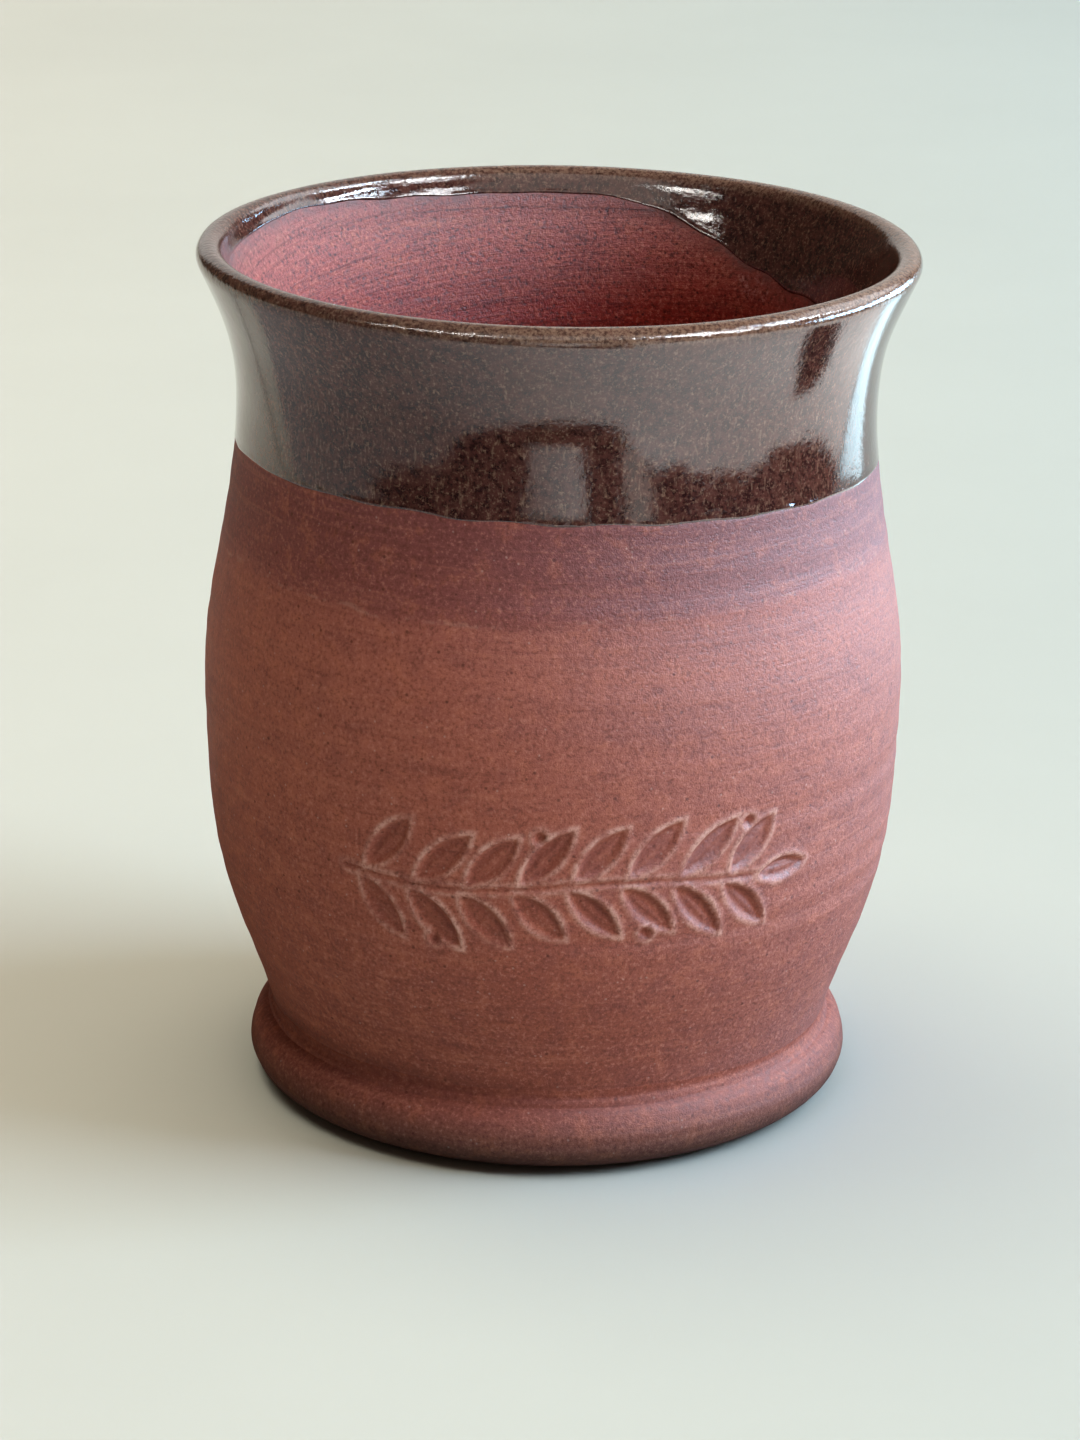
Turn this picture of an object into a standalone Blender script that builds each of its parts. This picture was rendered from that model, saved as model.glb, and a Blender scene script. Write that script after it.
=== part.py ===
"""A thrown red-clay wine cup: a wall luted to a rolled foot ring, a floor let into the ring, and a glazed lip.

Metres, +Z up. The origin is the middle of the circle that the cup stands on, and the front of the cup faces -Y.
"""

import math

import bmesh
import bpy
import numpy as np

# Fineness of the round pieces
SEGMENTS = 48
WALL_ROWS = 20
COAT_ROWS = 8
WASH_ROWS = 4
LIP_STEPS = 6
ROLL_STEPS = 6

# Clearance that stands for the fired bond between two neighbouring pieces
BOND_GAP = 0.0003

# Foot ring: a rounded roll outside, a flat tread below, and a socket with a ledge that carries the floor
FOOT_HEIGHT = 0.0078
FOOT_RADIUS = 0.0366
FOOT_BULGE_HEIGHT = 0.0039
TREAD_OUTER_RADIUS = 0.0312
TREAD_CHAMFER = 0.0010
LEDGE_WIDTH = 0.0048
LEDGE_HEIGHT = 0.0030

# Luting slip: the thin layer that joins the wall to the foot ring and shows as a fine bead in the crease
SLIP_THICKNESS = 0.0006
SLIP_BEAD = 0.0005

# Floor disc
FLOOR_THICKNESS = 0.0064
FLOOR_EDGE_ROUND = 0.0006

# Wall: the outer radius of the bare clay at each station, and the rise to it from the station below
WAIST_RADIUS = 0.03385
HIP_RISE = 0.0120
HIP_RADIUS = 0.0380
SWELL_RISE = 0.0130
SWELL_RADIUS = 0.0411
BELLY_RISE = 0.0170
BELLY_RADIUS = 0.0419
SHOULDER_RISE = 0.0170
SHOULDER_RADIUS = 0.0398
NECK_RISE = 0.0170
NECK_RADIUS = 0.0372
FLARE_RISE = 0.0100
FLARE_RADIUS = 0.03885
LIP_RISE = 0.00657
LIP_RADIUS = 0.04172

# Thickness of the clay, which tapers evenly from the waist to the lip
WAIST_WALL = 0.0050
LIP_WALL = 0.0019

# Glaze coat: how far it hangs below the lip on each face, and how that depth changes around the cup
GLAZE_THICKNESS = 0.0004
OUTER_DEPTH = 0.0235
OUTER_TILT = 0.0022
OUTER_TILT_TOWARDS = math.radians(30)
INNER_DEPTH = 0.0015
INNER_RUN_DEPTH = 0.0070
INNER_RUN_TOWARDS = math.radians(5)
INNER_RUN_HALF_WIDTH = math.radians(65)

# Colours and roughness of the fired clay and of the glaze
WALL_COLOUR = (0.300, 0.105, 0.080)
FLOOR_COLOUR = (0.270, 0.085, 0.070)
FOOT_COLOUR = (0.250, 0.095, 0.070)
SLIP_COLOUR = (0.330, 0.140, 0.110)
GLAZE_COLOUR = (0.085, 0.046, 0.040)
CLAY_ROUGHNESS = 0.75
GLAZE_ROUGHNESS = 0.15

ANGLES = [2 * math.pi * step / SEGMENTS for step in range(SEGMENTS)]
SMOOTH_UP_TO = math.radians(35)

# The stack from the table up
LEDGE_TOP = LEDGE_HEIGHT
FLOOR_BOTTOM = LEDGE_TOP + BOND_GAP
SLIP_BOTTOM = FOOT_HEIGHT + BOND_GAP
SLIP_TOP = SLIP_BOTTOM + SLIP_THICKNESS
WALL_BOTTOM = SLIP_TOP + BOND_GAP

STATION_RISES = (HIP_RISE, SWELL_RISE, BELLY_RISE, SHOULDER_RISE, NECK_RISE, FLARE_RISE, LIP_RISE)
STATION_HEIGHTS = np.cumsum((WALL_BOTTOM, *STATION_RISES))
STATION_RADII = np.array(
    (
        WAIST_RADIUS,
        HIP_RADIUS,
        SWELL_RADIUS,
        BELLY_RADIUS,
        SHOULDER_RADIUS,
        NECK_RADIUS,
        FLARE_RADIUS,
        LIP_RADIUS,
    )
)
LIP_HEIGHT = STATION_HEIGHTS[-1]

# The wall's bore at its base, which the floor disc fills
BORE_RADIUS = WAIST_RADIUS - WAIST_WALL
FLOOR_RADIUS = BORE_RADIUS - BOND_GAP
SOCKET_RADIUS = FLOOR_RADIUS + BOND_GAP
LEDGE_RADIUS = SOCKET_RADIUS - LEDGE_WIDTH


def station_slopes():
    """Slope of the outer radius at each station: level at a bulge or a neck, a weighted mean elsewhere."""
    runs = np.diff(STATION_HEIGHTS)
    leans = np.diff(STATION_RADII) / runs
    slopes = [leans[0]]
    for below, above, run_below, run_above in zip(leans, leans[1:], runs, runs[1:]):
        if below * above <= 0:
            slopes.append(0.0)
            continue
        weight_below = 2 * run_above + run_below
        weight_above = run_above + 2 * run_below
        slopes.append((weight_below + weight_above) / (weight_below / below + weight_above / above))
    slopes.append(leans[-1])
    return slopes


STATION_SLOPES = station_slopes()


def wall_line(height):
    """Outer radius of the clay at a height, and its slope there, on a cubic between two stations."""
    first = int(np.clip(np.searchsorted(STATION_HEIGHTS, height) - 1, 0, len(STATION_HEIGHTS) - 2))
    run = STATION_HEIGHTS[first + 1] - STATION_HEIGHTS[first]
    t = (height - STATION_HEIGHTS[first]) / run
    low, high = STATION_RADII[first], STATION_RADII[first + 1]
    lean_low, lean_high = STATION_SLOPES[first] * run, STATION_SLOPES[first + 1] * run
    bend = 2 * (low - high) + lean_low + lean_high
    sway = 3 * (high - low) - 2 * lean_low - lean_high
    radius = low + t * (lean_low + t * (sway + t * bend))
    slope = (lean_low + t * (2 * sway + t * 3 * bend)) / run
    return radius, slope


def wall_thickness(height):
    share = (height - WALL_BOTTOM) / (LIP_HEIGHT - WALL_BOTTOM)
    return WAIST_WALL + (LIP_WALL - WAIST_WALL) * share


def lean_of(height):
    """Angle that the wall's depth is measured at: level at the waist, square to the wall at the lip."""
    share = (height - WALL_BOTTOM) / (LIP_HEIGHT - WALL_BOTTOM)
    return share * math.atan(wall_line(height)[1])


def outer_point(height, proud=0.0):
    """Radius and height of a point on the wall's outside, or standing proud of it."""
    lean = lean_of(height)
    return wall_line(height)[0] + proud * math.cos(lean), height - proud * math.sin(lean)


def inner_point(height, proud=0.0):
    """Radius and height of the point on the wall's inside across from a height on its outside."""
    return outer_point(height, -wall_thickness(height) - proud)


def lip_arc(proud=0.0):
    """Half circle over the lip, from the outside to the inside, without its two ends."""
    lean = lean_of(LIP_HEIGHT)
    centre_radius, centre_height = outer_point(LIP_HEIGHT, -LIP_WALL / 2)
    radius = LIP_WALL / 2 + proud
    turns = [math.pi * step / LIP_STEPS - lean for step in range(1, LIP_STEPS)]
    return [(centre_radius + radius * math.cos(a), centre_height + radius * math.sin(a)) for a in turns]


def quarter_roll(centre, across, up, start):
    """Quarter of an ellipse in the section plane, ends included, counted from a start angle."""
    turns = [start + math.pi / 2 * step / ROLL_STEPS for step in range(ROLL_STEPS + 1)]
    return [(centre[0] + across * math.cos(a), centre[1] + up * math.sin(a)) for a in turns]


def plain_material(name, colour, roughness):
    material = bpy.data.materials.new(name)
    material.use_nodes = True
    shader = material.node_tree.nodes["Principled BSDF"]
    shader.inputs["Base Color"].default_value = (*colour, 1.0)
    shader.inputs["Roughness"].default_value = roughness
    shader.inputs["Metallic"].default_value = 0.0
    return material


def add_piece(name, bm, material):
    mesh = bpy.data.meshes.new(name)
    bmesh.ops.recalc_face_normals(bm, faces=bm.faces)
    bm.to_mesh(mesh)
    bm.free()
    mesh.shade_smooth()
    mesh.set_sharp_from_angle(angle=SMOOTH_UP_TO)
    mesh.materials.append(material)
    piece = bpy.data.objects.new(name, mesh)
    bpy.context.scene.collection.objects.link(piece)
    return piece


def add_turned_piece(name, section_at, material):
    """A ring whose closed section, as radius and height pairs, may change with the angle around the cup."""
    bm = bmesh.new()
    loops = []
    for angle in ANGLES:
        section = section_at(angle)
        loops.append([bm.verts.new((r * math.cos(angle), r * math.sin(angle), z)) for r, z in section])
    for loop, following in zip(loops, loops[1:] + loops[:1]):
        for i in range(len(loop)):
            bm.faces.new((loop[i - 1], loop[i], following[i], following[i - 1]))
    return add_piece(name, bm, material)


def wall_section(_angle):
    heights = np.linspace(WALL_BOTTOM, LIP_HEIGHT, WALL_ROWS + 1)
    outside = [outer_point(height) for height in heights]
    inside = [inner_point(height) for height in heights[::-1]]
    return outside + lip_arc() + inside


def foot_section(_angle):
    tread = [(LEDGE_RADIUS, TREAD_CHAMFER), (LEDGE_RADIUS + TREAD_CHAMFER, 0.0)]
    below = quarter_roll(
        (TREAD_OUTER_RADIUS, FOOT_BULGE_HEIGHT),
        FOOT_RADIUS - TREAD_OUTER_RADIUS,
        FOOT_BULGE_HEIGHT,
        -math.pi / 2,
    )
    above = quarter_roll(
        (WAIST_RADIUS, FOOT_BULGE_HEIGHT),
        FOOT_RADIUS - WAIST_RADIUS,
        FOOT_HEIGHT - FOOT_BULGE_HEIGHT,
        0.0,
    )
    socket = [(SOCKET_RADIUS, FOOT_HEIGHT), (SOCKET_RADIUS, LEDGE_TOP), (LEDGE_RADIUS, LEDGE_TOP)]
    return tread + below + above[1:] + socket


def slip_section(_angle):
    middle = (SLIP_BOTTOM + SLIP_TOP) / 2
    bead = quarter_roll((WAIST_RADIUS, middle), SLIP_BEAD, SLIP_THICKNESS / 2, -math.pi / 2)
    bead += quarter_roll((WAIST_RADIUS, middle), SLIP_BEAD, SLIP_THICKNESS / 2, 0.0)[1:]
    return [(SOCKET_RADIUS, SLIP_TOP), (SOCKET_RADIUS, SLIP_BOTTOM)] + bead


def outer_border(angle):
    """Height of the coat's lower edge outside, which hangs lower on one side."""
    return LIP_HEIGHT - OUTER_DEPTH - OUTER_TILT * math.cos(angle - OUTER_TILT_TOWARDS)


def inner_border(angle):
    """Height of the coat's lower edge inside, with one broad run down the wall."""
    away = math.remainder(angle - INNER_RUN_TOWARDS, 2 * math.pi) / INNER_RUN_HALF_WIDTH
    run = (1 + math.cos(math.pi * max(-1.0, min(1.0, away)))) / 2
    return LIP_HEIGHT - INNER_DEPTH - INNER_RUN_DEPTH * run


def coat_face(angle, proud):
    outside = np.linspace(outer_border(angle), LIP_HEIGHT, COAT_ROWS + 1)
    inside = np.linspace(LIP_HEIGHT, inner_border(angle), WASH_ROWS + 1)
    over = [outer_point(height, proud) for height in outside] + lip_arc(proud)
    return over + [inner_point(height, proud) for height in inside]


def coat_section(angle):
    under = coat_face(angle, BOND_GAP)
    return coat_face(angle, BOND_GAP + GLAZE_THICKNESS) + under[::-1]


def add_floor(material):
    bm = bmesh.new()
    bmesh.ops.create_cone(
        bm,
        cap_ends=True,
        segments=SEGMENTS,
        radius1=FLOOR_RADIUS,
        radius2=FLOOR_RADIUS,
        depth=FLOOR_THICKNESS,
    )
    floor = add_piece("floor_disc", bm, material)
    floor.location.z = FLOOR_BOTTOM + FLOOR_THICKNESS / 2
    edges = floor.modifiers.new("worn edges", "BEVEL")
    edges.width = FLOOR_EDGE_ROUND
    edges.segments = 2
    edges.limit_method = "ANGLE"
    return floor


def main():
    for old in list(bpy.data.objects):
        bpy.data.objects.remove(old, do_unlink=True)
    cup = bpy.data.objects.new("wine_cup", None)
    bpy.context.scene.collection.objects.link(cup)
    pieces = (
        add_turned_piece("thrown_wall", wall_section, plain_material("wall clay", WALL_COLOUR, CLAY_ROUGHNESS)),
        add_turned_piece("foot_ring", foot_section, plain_material("foot clay", FOOT_COLOUR, CLAY_ROUGHNESS)),
        add_turned_piece("luting_slip", slip_section, plain_material("slip", SLIP_COLOUR, CLAY_ROUGHNESS)),
        add_turned_piece("glaze_coat", coat_section, plain_material("glaze", GLAZE_COLOUR, GLAZE_ROUGHNESS)),
        add_floor(plain_material("floor clay", FLOOR_COLOUR, CLAY_ROUGHNESS)),
    )
    for piece in pieces:
        piece.parent = cup


main()
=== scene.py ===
import math

import bmesh
import bpy
import numpy as np
from mathutils import Matrix, Vector


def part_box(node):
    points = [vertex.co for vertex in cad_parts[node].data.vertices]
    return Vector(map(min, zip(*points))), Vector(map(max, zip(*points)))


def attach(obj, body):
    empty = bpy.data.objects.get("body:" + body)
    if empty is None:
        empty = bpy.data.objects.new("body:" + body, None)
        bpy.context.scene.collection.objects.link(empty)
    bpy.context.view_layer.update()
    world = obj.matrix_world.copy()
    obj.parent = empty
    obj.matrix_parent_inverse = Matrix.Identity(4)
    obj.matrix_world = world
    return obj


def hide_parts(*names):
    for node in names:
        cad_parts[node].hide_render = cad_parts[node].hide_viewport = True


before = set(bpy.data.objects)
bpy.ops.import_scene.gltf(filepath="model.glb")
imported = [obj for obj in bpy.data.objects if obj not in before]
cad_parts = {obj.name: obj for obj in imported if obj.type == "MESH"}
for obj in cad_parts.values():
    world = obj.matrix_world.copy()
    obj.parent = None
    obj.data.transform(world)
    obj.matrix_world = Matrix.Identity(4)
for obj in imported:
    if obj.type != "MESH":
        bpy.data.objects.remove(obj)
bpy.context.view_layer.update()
scene = bpy.context.scene
mm = 0.001
print("frame loaded:", ", ".join(sorted(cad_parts)))

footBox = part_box("foot_ring")
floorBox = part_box("floor_disc")
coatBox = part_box("glaze_coat")
cupTop = coatBox[1].z
lipReach = coatBox[1].x

# the photographed side of the cup looks along -Y
frontAngle = -math.pi / 2


# shared shape tools

def smoothLine(knots, values, at):
    # natural cubic through the knots: solve for the bend at each knot, then read the cubic between two
    x, y = np.asarray(knots, float), np.asarray(values, float)
    step = np.diff(x)
    lean = np.diff(y) / step
    system = np.eye(len(x))
    inside = np.arange(1, len(x) - 1)
    system[inside, inside - 1] = step[:-1]
    system[inside, inside] = 2 * (step[:-1] + step[1:])
    system[inside, inside + 1] = step[1:]
    bend = np.linalg.solve(system, np.concatenate([[0], 6 * np.diff(lean), [0]]))
    at = np.asarray(at, float)
    k = np.clip(np.searchsorted(x, at) - 1, 0, len(step) - 1)
    left, right = at - x[k], x[k + 1] - at
    low = y[k] / step[k] - bend[k] * step[k] / 6
    high = y[k + 1] / step[k] - bend[k + 1] * step[k] / 6
    value = (bend[k] * right**3 + bend[k + 1] * left**3) / (6 * step[k]) + low * right + high * left
    slope = (bend[k + 1] * left**2 - bend[k] * right**2) / (2 * step[k]) - low + high
    return value, slope


def ease(low, high, x):
    # 0 below low, 1 above high, an S curve between
    t = np.clip((x - low) / (high - low), 0, 1)
    return t * t * (3 - 2 * t)


def ripple(angle, height, seed, waves, turnsMost, pitch=1.0):
    # sum of slow waves around and up the cup, each with a whole number of turns, so that the seam closes
    rng = np.random.default_rng(seed)
    total = np.zeros(np.broadcast(angle, height).shape)
    for _ in range(waves):
        turns = rng.integers(0, turnsMost + 1)
        phase, lift = rng.uniform(0, 2 * math.pi), rng.uniform(0.6, 1.6) / pitch
        total = total + np.cos(turns * angle + 2 * math.pi * lift * height + phase)
    return total / math.sqrt(waves)


def turned(radius, height, angle):
    # radius and height on a grid, carried around the cup's axis
    return np.stack([radius * np.cos(angle), radius * np.sin(angle), height + 0 * radius], axis=-1)


def evenAngles(columns):
    return np.linspace(0, 2 * math.pi, columns, endpoint=False)[None, :]


def gridMesh(name, points, closeRows=True):
    # quads between the rows and columns of a grid: columns run around the cup and always close
    rows, columns = points.shape[:2]
    index = np.arange(rows * columns).reshape(rows, columns)
    if closeRows:
        index = np.vstack([index, index[:1]])
    following = np.roll(index, -1, axis=1)
    quads = np.stack([index[:-1], following[:-1], following[1:], index[1:]], axis=-1).reshape(-1, 4)
    mesh = bpy.data.meshes.new(name)
    mesh.from_pydata(points.reshape(-1, 3), [], quads)
    mesh.shade_smooth()
    return mesh


def mark(mesh, name, values):
    # one number for each point, for the materials to read
    layer = mesh.attributes.new(name, "FLOAT", "POINT")
    layer.data.foreach_set("value", np.ravel(values).astype(np.float32))


def put(name, data):
    thing = bpy.data.objects.new(name, data)
    scene.collection.objects.link(thing)
    return thing


def place(name, mesh, material, node):
    piece = put(name, mesh)
    mesh.materials.append(material)
    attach(piece, "root")
    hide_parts(node)
    print(f"{name}: {len(mesh.polygons)} faces")


# shader tools

class Finish:
    # a material under construction: add() makes a node, sets its fixed sockets and links the others

    def __init__(self, name):
        self.material = bpy.data.materials.new(name)
        self.material.use_nodes = True
        self.tree = self.material.node_tree
        self.shader = self.tree.nodes["Principled BSDF"]
        self.place = self.add("ShaderNodeTexCoord").outputs["Object"]
        self.base = None

    def add(self, kind, settings=None, **sockets):
        node = self.tree.nodes.new(kind)
        for key, value in (settings or {}).items():
            setattr(node, key, value)
        for key, value in sockets.items():
            self.feed(node.inputs[key.replace("_", " ")], value)
        return node

    def feed(self, socket, value):
        # links the socket or sets it, and a colour may leave its alpha out
        if isinstance(value, bpy.types.NodeSocket):
            self.tree.links.new(value, socket)
        elif socket.type == "RGBA" and len(value) == 3:
            socket.default_value = (*value, 1)
        else:
            socket.default_value = value

    def stretched(self, scale):
        return self.add("ShaderNodeMapping", Vector=self.place, Scale=scale).outputs["Vector"]

    def noise(self, scale, detail, rough, where=None):
        made = self.add(
            "ShaderNodeTexNoise", Vector=where or self.place, Scale=scale, Detail=detail, Roughness=rough
        )
        return made.outputs["Fac"]

    def math(self, how, a, b=0.0):
        node = self.add("ShaderNodeMath", {"operation": how})
        self.feed(node.inputs[0], a)
        self.feed(node.inputs[1], b)
        return node.outputs[0]

    def times(self, a, b):
        return self.math("MULTIPLY", a, b)

    def centred(self, pattern):
        return self.math("SUBTRACT", pattern, 0.5)

    def span(self, value, low, high, toLow=0.0, toHigh=1.0):
        node = self.add(
            "ShaderNodeMapRange", {"interpolation_type": "SMOOTHSTEP"}, Value=value,
            From_Min=low, From_Max=high, To_Min=toLow, To_Max=toHigh,
        )
        return node.outputs["Result"]

    def mix(self, share, a, b, how="MIX"):
        node = self.add("ShaderNodeMix", {"data_type": "RGBA", "blend_type": how})
        self.feed(node.inputs[0], share)
        self.feed(node.inputs[6], a)
        self.feed(node.inputs[7], b)
        return node.outputs[2]

    def cover(self, share, colour, how="MIX"):
        # lays a colour over the base
        self.base = self.mix(share, self.base, colour, how)

    def ramp(self, value, stops):
        node = self.add("ShaderNodeValToRGB", Fac=value)
        bar = node.color_ramp.elements
        while len(bar) < len(stops):
            bar.new(0.5)
        for element, (position, colour) in zip(bar, stops):
            element.position = position
            element.color = (*colour, 1)
        return node.outputs["Color"]

    def spiral(self, lead, vary):
        # the place turned about the cup's axis as it climbs, where a pattern runs in spiral lines
        turn = self.times(self.along("Z"), 2 * math.pi / lead)
        kind = {"rotation_type": "Z_AXIS"}
        wound = self.add("ShaderNodeVectorRotate", kind, Vector=self.place, Angle=turn)
        axes = self.add("ShaderNodeSeparateXYZ", Vector=wound.outputs["Vector"]).outputs
        slow = self.times(self.along("X"), vary)
        return self.add("ShaderNodeCombineXYZ", X=axes["X"], Y=axes["Y"], Z=slow).outputs["Vector"]

    def line(self, value, at, reach, strength=1.0):
        # full strength where the value is just so, nothing past its reach
        off = self.math("ABSOLUTE", self.math("SUBTRACT", value, at))
        return self.times(self.span(off, 0.0, reach, 1.0, 0.0), strength)

    def along(self, axis):
        return self.add("ShaderNodeSeparateXYZ", Vector=self.place).outputs[axis]

    def reading(self, name):
        return self.add("ShaderNodeAttribute", {"attribute_name": name}).outputs["Fac"]

    def flecks(self, scale, share, size, strength):
        # scattered grains: the cells of a fine mesh, a few of them picked by their own random colour
        cells = self.add("ShaderNodeTexVoronoi", Vector=self.place, Scale=scale)
        pick = self.add("ShaderNodeSeparateColor", Color=cells.outputs["Color"]).outputs[0]
        picked = self.math("GREATER_THAN", pick, 1 - share)
        near = self.span(cells.outputs["Distance"], size * 0.4, size, 1.0, 0.0)
        return self.times(self.times(picked, near), strength)

    def relief(self, *layers):
        # bumps laid one over another: (height, depth in metres)
        normal = None
        for value, depth in layers:
            bump = self.add("ShaderNodeBump", Height=value, Distance=depth)
            bump.inputs["Strength"].default_value = 1.0
            if normal:
                self.feed(bump.inputs["Normal"], normal)
            normal = bump.outputs["Normal"]
        self.feed(self.shader.inputs["Normal"], normal)


# bare red clay, fired: tone by height, throwing bands, grain, pale flecks and dark pits; painted shade in
# the crease, under the roll and deep inside

clayLook = dict(
    tones=(
        (0.000, (0.290, 0.100, 0.076)),
        (0.078, (0.280, 0.088, 0.065)),
        (0.100, (0.285, 0.081, 0.053)),
        (0.250, (0.338, 0.096, 0.062)),
        (0.450, (0.395, 0.117, 0.077)),
        (0.600, (0.420, 0.130, 0.090)),
        (0.657, (0.405, 0.125, 0.091)),
        (0.673, (0.290, 0.086, 0.075)),
        (0.750, (0.235, 0.070, 0.067)),
        (1.000, (0.235, 0.070, 0.067)),
    ),
    # darker and greyer towards the tread: partly the greyer clay underneath, partly painted shade under the
    # roll
    underside=(
        (0.000, (0.34, 0.44, 0.46)),
        (0.012, (0.30, 0.42, 0.45)),
        (0.030, (0.42, 0.55, 0.58)),
        (0.045, (0.63, 0.73, 0.75)),
        (0.068, (1.00, 1.00, 1.00)),
    ),
    insideTone=(0.430, 0.108, 0.088),
    # painted shade and red bounce light: the inside darker and redder towards the bottom
    shadedDeepTone=(0.335, 0.047, 0.032),
    deepShadeTint=(0.96, 0.56, 0.52),
    deepRange=(82 * mm, 99 * mm),
    deepSway=12 * mm,
    sway=(6 * mm, 20 * mm, 0.6 * mm, 5.5 * mm),
    contrast=0.46,
    insideContrast=0.90,
    band=(0.235, 0.070, 0.058),
    paleBlotch=(0.52, 0.165, 0.095),
    darkBlotch=(0.20, 0.062, 0.056),
    paleStreak=(0.50, 0.175, 0.115),
    darkStreak=(0.17, 0.048, 0.038),
    paleGrain=(0.60, 0.245, 0.18),
    paleDrag=(0.62, 0.18, 0.13),
    darkDrag=(0.105, 0.022, 0.018),
    dragLead=25.0 * mm,
    dragVary=0.6,
    # painted shade: the dark line of a throwing groove inside
    groove=(0.07, 0.018, 0.016),
    grooveHeight=99.0 * mm,
    grooveReach=0.18 * mm,
    grooveWaver=1.2 * mm,
    grooveShadeSide=(-24 * mm, -14 * mm),
    speck=(0.05, 0.014, 0.012),
    fleck=(0.62, 0.42, 0.36),
    pit=(0.10, 0.030, 0.022),
    pressed=(0.20, 0.055, 0.043),
    burnish=(0.62, 0.34, 0.28),
    bloom=(0.66, 0.50, 0.47),
    stain=(0.20, 0.095, 0.088),
    tideLine=0.665,
    tideReach=0.004,
    # painted shade: the crease above the foot is darkened, more on the left, away from the light
    crease=(0.10, 0.026, 0.018),
    creaseHeight=9.6 * mm,
    creaseReach=3.2 * mm,
    creaseShadeSide=(-22 * mm, 16 * mm, 0.50, 0.10),
    roughness=(0.52, 0.74),
    outsideRelief=(0.06 * mm, 0.10 * mm, 0.05 * mm),
    insideRelief=(0.16 * mm, 0.20 * mm, 0.06 * mm),
)


def clayFinish(name, inside=False, gloss=0.15):
    look = clayLook
    clay = Finish(name)
    up, across = clay.along("Z"), clay.along("X")
    bands = clay.noise(scale=1.0, detail=3, rough=0.55, where=clay.stretched((14, 14, 210)))
    streaks = clay.noise(scale=1.0, detail=4, rough=0.6, where=clay.stretched((45, 45, 1300)))
    cloud = clay.noise(scale=55, detail=4, rough=0.55)
    blotch = clay.noise(scale=430, detail=4, rough=0.6)
    grain = clay.noise(scale=2100, detail=5, rough=0.7)
    grit = clay.noise(scale=5200, detail=2, rough=0.6)
    if inside:
        # painted shade and red bounce light: the tone darkens and reddens deeper in the cup
        level = clay.math("ADD", up, clay.times(clay.centred(bands), look["deepSway"]))
        depth = clay.span(level, *look["deepRange"])
        clay.base = clay.mix(depth, look["shadedDeepTone"], look["insideTone"])
        contrast = look["insideContrast"]
    else:
        sway = clay.math("ADD", clay.centred(cloud), clay.centred(bands))
        sway = clay.times(sway, clay.span(up, *look["sway"]))
        level = clay.math("DIVIDE", clay.math("ADD", up, sway), cupTop)
        clay.base = clay.ramp(level, look["tones"])
        broken = clay.span(blotch, 0.50, 0.62, 0.0, 0.28)
        tide = clay.line(level, look["tideLine"], look["tideReach"], broken)
        clay.cover(tide, look["fleck"])
        contrast = look["contrast"]

    # over the base: a pattern, the range in which it comes in, its share at both ends, and its colour
    layers = [
        (bands, 0.25, 0.75, 0.0, 0.30, "band"),
        (blotch, 0.52, 0.66, 0.0, 0.30, "paleBlotch"),
        (blotch, 0.34, 0.48, 0.28, 0.0, "darkBlotch"),
        (streaks, 0.52, 0.72, 0.0, 0.30, "paleStreak"),
        (streaks, 0.30, 0.46, 0.26, 0.0, "darkStreak"),
        (grain, 0.36, 0.50, contrast, 0.0, "pit"),
        (grain, 0.52, 0.68, 0.0, contrast, "paleGrain"),
    ]
    if inside:
        wound = clay.spiral(look["dragLead"], look["dragVary"])
        drag = clay.noise(scale=260, detail=5, rough=0.74, where=wound)
        layers.append((drag, 0.54, 0.64, 0.0, 0.50, "darkDrag"))
        layers.append((drag, 0.36, 0.45, 0.34, 0.0, "paleDrag"))
    for pattern, low, high, atLow, atHigh, colour in layers:
        clay.cover(clay.span(pattern, low, high, atLow, atHigh), look[colour])

    if inside:
        # painted shade of a throwing groove: a dark line round the inside at one height, faded out towards
        # the left
        waver = clay.times(clay.centred(cloud), look["grooveWaver"])
        seen = clay.times(clay.span(across, *look["grooveShadeSide"]), clay.span(drag, 0.42, 0.52, 0.3, 0.9))
        groove = clay.line(clay.math("ADD", up, waver), look["grooveHeight"], look["grooveReach"], seen)
        clay.cover(groove, look["groove"])
        clay.cover(clay.flecks(scale=1500, share=0.20, size=0.36, strength=0.8), look["speck"])
    else:
        clay.cover(clay.flecks(scale=1500, share=0.05, size=0.28, strength=0.35), look["fleck"])
        clay.cover(clay.flecks(scale=1100, share=0.06, size=0.30, strength=0.7), look["pit"])
        clay.cover(clay.times(clay.reading("pressed"), 0.35), look["pressed"])
        scuff = clay.times(clay.reading("burr"), clay.span(grain, 0.34, 0.56, 0.35, 1.0))
        scuff = clay.times(scuff, clay.span(blotch, 0.40, 0.58, 0.25, 1.15))
        clay.cover(scuff, look["burnish"])
    dust = clay.noise(scale=70, detail=5, rough=0.7)
    chalk = clay.times(clay.span(dust, 0.67, 0.78), clay.span(grain, 0.44, 0.60))
    clay.cover(clay.times(chalk, 0.55), look["bloom"])

    if inside:
        stained = clay.times(clay.reading("stain"), clay.span(blotch, 0.40, 0.60, 0.35, 0.95))
        clay.cover(stained, look["stain"])
        # painted shade deep in the cup, laid over everything else
        clay.cover(1.0, clay.mix(depth, look["deepShadeTint"], (1, 1, 1)), "MULTIPLY")
        bumps = zip((drag, grain, grit), look["insideRelief"])
    else:
        # painted shade in the crease above the foot, strong on the left and faint on the right
        side = clay.span(across, *look["creaseShadeSide"])
        shade = clay.line(up, look["creaseHeight"], look["creaseReach"], side)
        clay.cover(shade, look["crease"])
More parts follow.
